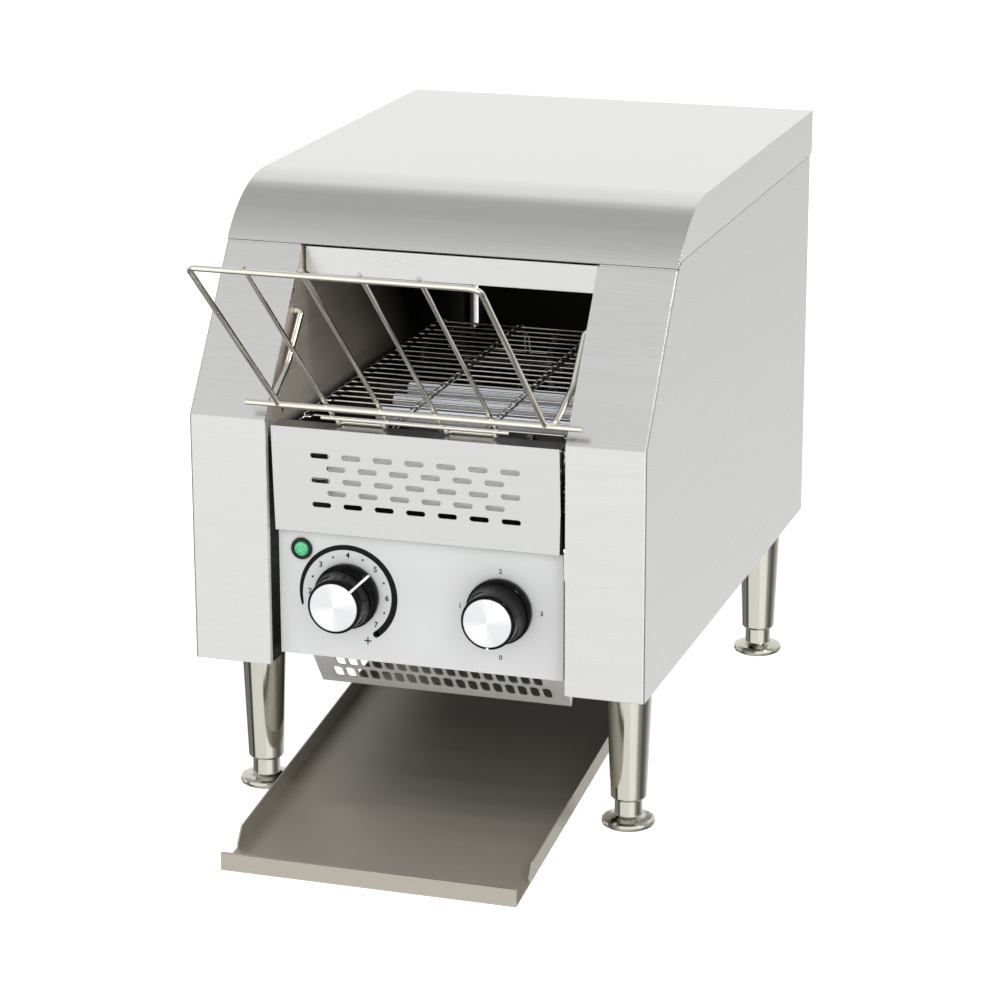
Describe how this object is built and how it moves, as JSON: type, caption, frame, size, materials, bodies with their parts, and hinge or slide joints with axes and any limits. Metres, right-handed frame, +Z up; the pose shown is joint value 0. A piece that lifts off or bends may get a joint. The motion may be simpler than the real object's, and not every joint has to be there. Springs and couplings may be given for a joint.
{
  "type": "conveyor toaster",
  "caption": "Countertop conveyor toaster with stainless body, wire feed rack, mesh belt, speed and mode knobs, pull-out toast tray and adjustable round legs.",
  "frame": {"origin": "centre of the overall box in plan, on the counter that the feet stand on", "axes": "+Z up, -Y towards the user (the feed rack and the tray point that way), +X to the user's right when facing the front"},
  "size_m": [0.288, 0.5572, 0.3834],
  "materials": {
    "stainless_panels": "satin",
    "fascia": "satin",
    "inner_plates": "satin",
    "reflectors": "polished",
    "belt_wire": "satin",
    "drive_steel": "machined",
    "bearing_bronze": "machined",
    "motor_casing": "satin",
    "quartz_tubes": "frosted",
    "ceramic_caps": "matte",
    "black_plastic": "matte",
    "knob_plastic": "gloss",
    "knob_caps": "satin",
    "lamp_green": "gloss",
    "nickel_legs": "satin",
    "zinc_screws": "satin",
    "rack_wire": "polished",
    "tray_steel": "satin"
  },
  "bodies": {
    "toaster_body": {"left_side_shell": "stainless_panels", "right_side_shell": "stainless_panels", "top_cover": "stainless_panels", "rear_panel": "stainless_panels", "base_plate": "stainless_panels", "header_panel": "stainless_panels", "front_vent_panel": "stainless_panels", "lower_grille": "stainless_panels", "control_panel": "fascia", "conveyor_side_plate_left": "inner_plates", "conveyor_side_plate_right": "inner_plates", "toast_chute": "inner_plates", "tray_support": "inner_plates", "heat_shield": "inner_plates", "lower_reflector": "reflectors", "upper_reflector": "reflectors", "mesh_belt": "belt_wire", "drive_chain": "drive_steel", "front_bearings": "bearing_bronze", "rear_bearings": "bearing_bronze", "drive_motor": "motor_casing", "motor_gearbox": "motor_casing", "lower_heater_tubes": "quartz_tubes", "upper_heater_tubes": "quartz_tubes", "lower_tube_caps": "ceramic_caps", "upper_tube_caps": "ceramic_caps", "speed_controller": "black_plastic", "selector_switch": "black_plastic", "terminal_block": "black_plastic", "thermal_cutout": "black_plastic", "cord_gland": "black_plastic", "pilot_lamp_bezel": "black_plastic", "pilot_lamp_lens": "lamp_green", "legs": "nickel_legs", "leg_fixing_bolts": "zinc_screws", "rear_panel_screws": "zinc_screws"},
    "feed_rack": {"rack_frame": "rack_wire", "rack_rods": "rack_wire", "rack_side_arms": "rack_wire", "rack_stop_pins": "rack_wire", "rack_lip_hooks": "rack_wire"},
    "speed_dial": {"speed_knob": "knob_plastic", "speed_knob_cap": "knob_caps", "speed_control_shaft": "drive_steel"},
    "mode_selector": {"selector_knob": "knob_plastic", "selector_knob_cap": "knob_caps", "selector_shaft": "drive_steel"},
    "rear_drive": {"rear_shaft": "drive_steel", "rear_belt_sprockets": "drive_steel", "shaft_chain_sprocket": "drive_steel"},
    "front_idler": {"front_shaft": "drive_steel", "front_belt_sprockets": "drive_steel"},
    "motor_drive": {"motor_output_shaft": "drive_steel", "motor_sprocket": "drive_steel"},
    "tray": {"toast_tray": "tray_steel"},
    "foot_fl": {"foot_front_left": "nickel_legs"},
    "foot_fr": {"foot_front_right": "nickel_legs"},
    "foot_rl": {"foot_rear_left": "nickel_legs"},
    "foot_rr": {"foot_rear_right": "nickel_legs"}
  },
  "joints": [
    {"name": "rack_lift", "type": "hinge", "parent": "toaster_body", "child": "feed_rack", "pos_m": [0, -0.09281, 0.311], "axis": [-1, 0, 0], "range_deg": [0, 100]},
    {"name": "speed_turn", "type": "hinge", "parent": "toaster_body", "child": "speed_dial", "pos_m": [-0.0463, -0.13781, 0.1465], "axis": [0, 1, 0], "range_deg": [-180, 90]},
    {"name": "mode_turn", "type": "hinge", "parent": "toaster_body", "child": "mode_selector", "pos_m": [0.0513, -0.13781, 0.1465], "axis": [0, 1, 0], "range_deg": [0, 270]},
    {"name": "rear_shaft_turn", "type": "hinge", "parent": "toaster_body", "child": "rear_drive", "pos_m": [0, 0.15119, 0.22482], "axis": [-1, 0, 0], "continuous": true},
    {"name": "front_shaft_turn", "type": "hinge", "parent": "toaster_body", "child": "front_idler", "pos_m": [0, -0.10081, 0.22482], "axis": [-1, 0, 0], "continuous": true},
    {"name": "motor_turn", "type": "hinge", "parent": "toaster_body", "child": "motor_drive", "pos_m": [0.115, 0.15119, 0.13592], "axis": [-1, 0, 0], "continuous": true},
    {"name": "tray_pull", "type": "slide", "parent": "toaster_body", "child": "tray", "axis": [0, -1, 0], "range_m": [0, 0.38]},
    {"name": "foot_fl_adjust", "type": "slide", "parent": "toaster_body", "child": "foot_fl", "axis": [0, 0, -1], "range_m": [-0.006, 0.01]},
    {"name": "foot_fr_adjust", "type": "slide", "parent": "toaster_body", "child": "foot_fr", "axis": [0, 0, -1], "range_m": [-0.006, 0.01]},
    {"name": "foot_rl_adjust", "type": "slide", "parent": "toaster_body", "child": "foot_rl", "axis": [0, 0, -1], "range_m": [-0.006, 0.01]},
    {"name": "foot_rr_adjust", "type": "slide", "parent": "toaster_body", "child": "foot_rr", "axis": [0, 0, -1], "range_m": [-0.006, 0.01]}
  ],
  "couplings": [
    {"joint": "front_shaft_turn", "follows": "rear_shaft_turn", "ratio": 1},
    {"joint": "motor_turn", "follows": "rear_shaft_turn", "ratio": 1}
  ]
}
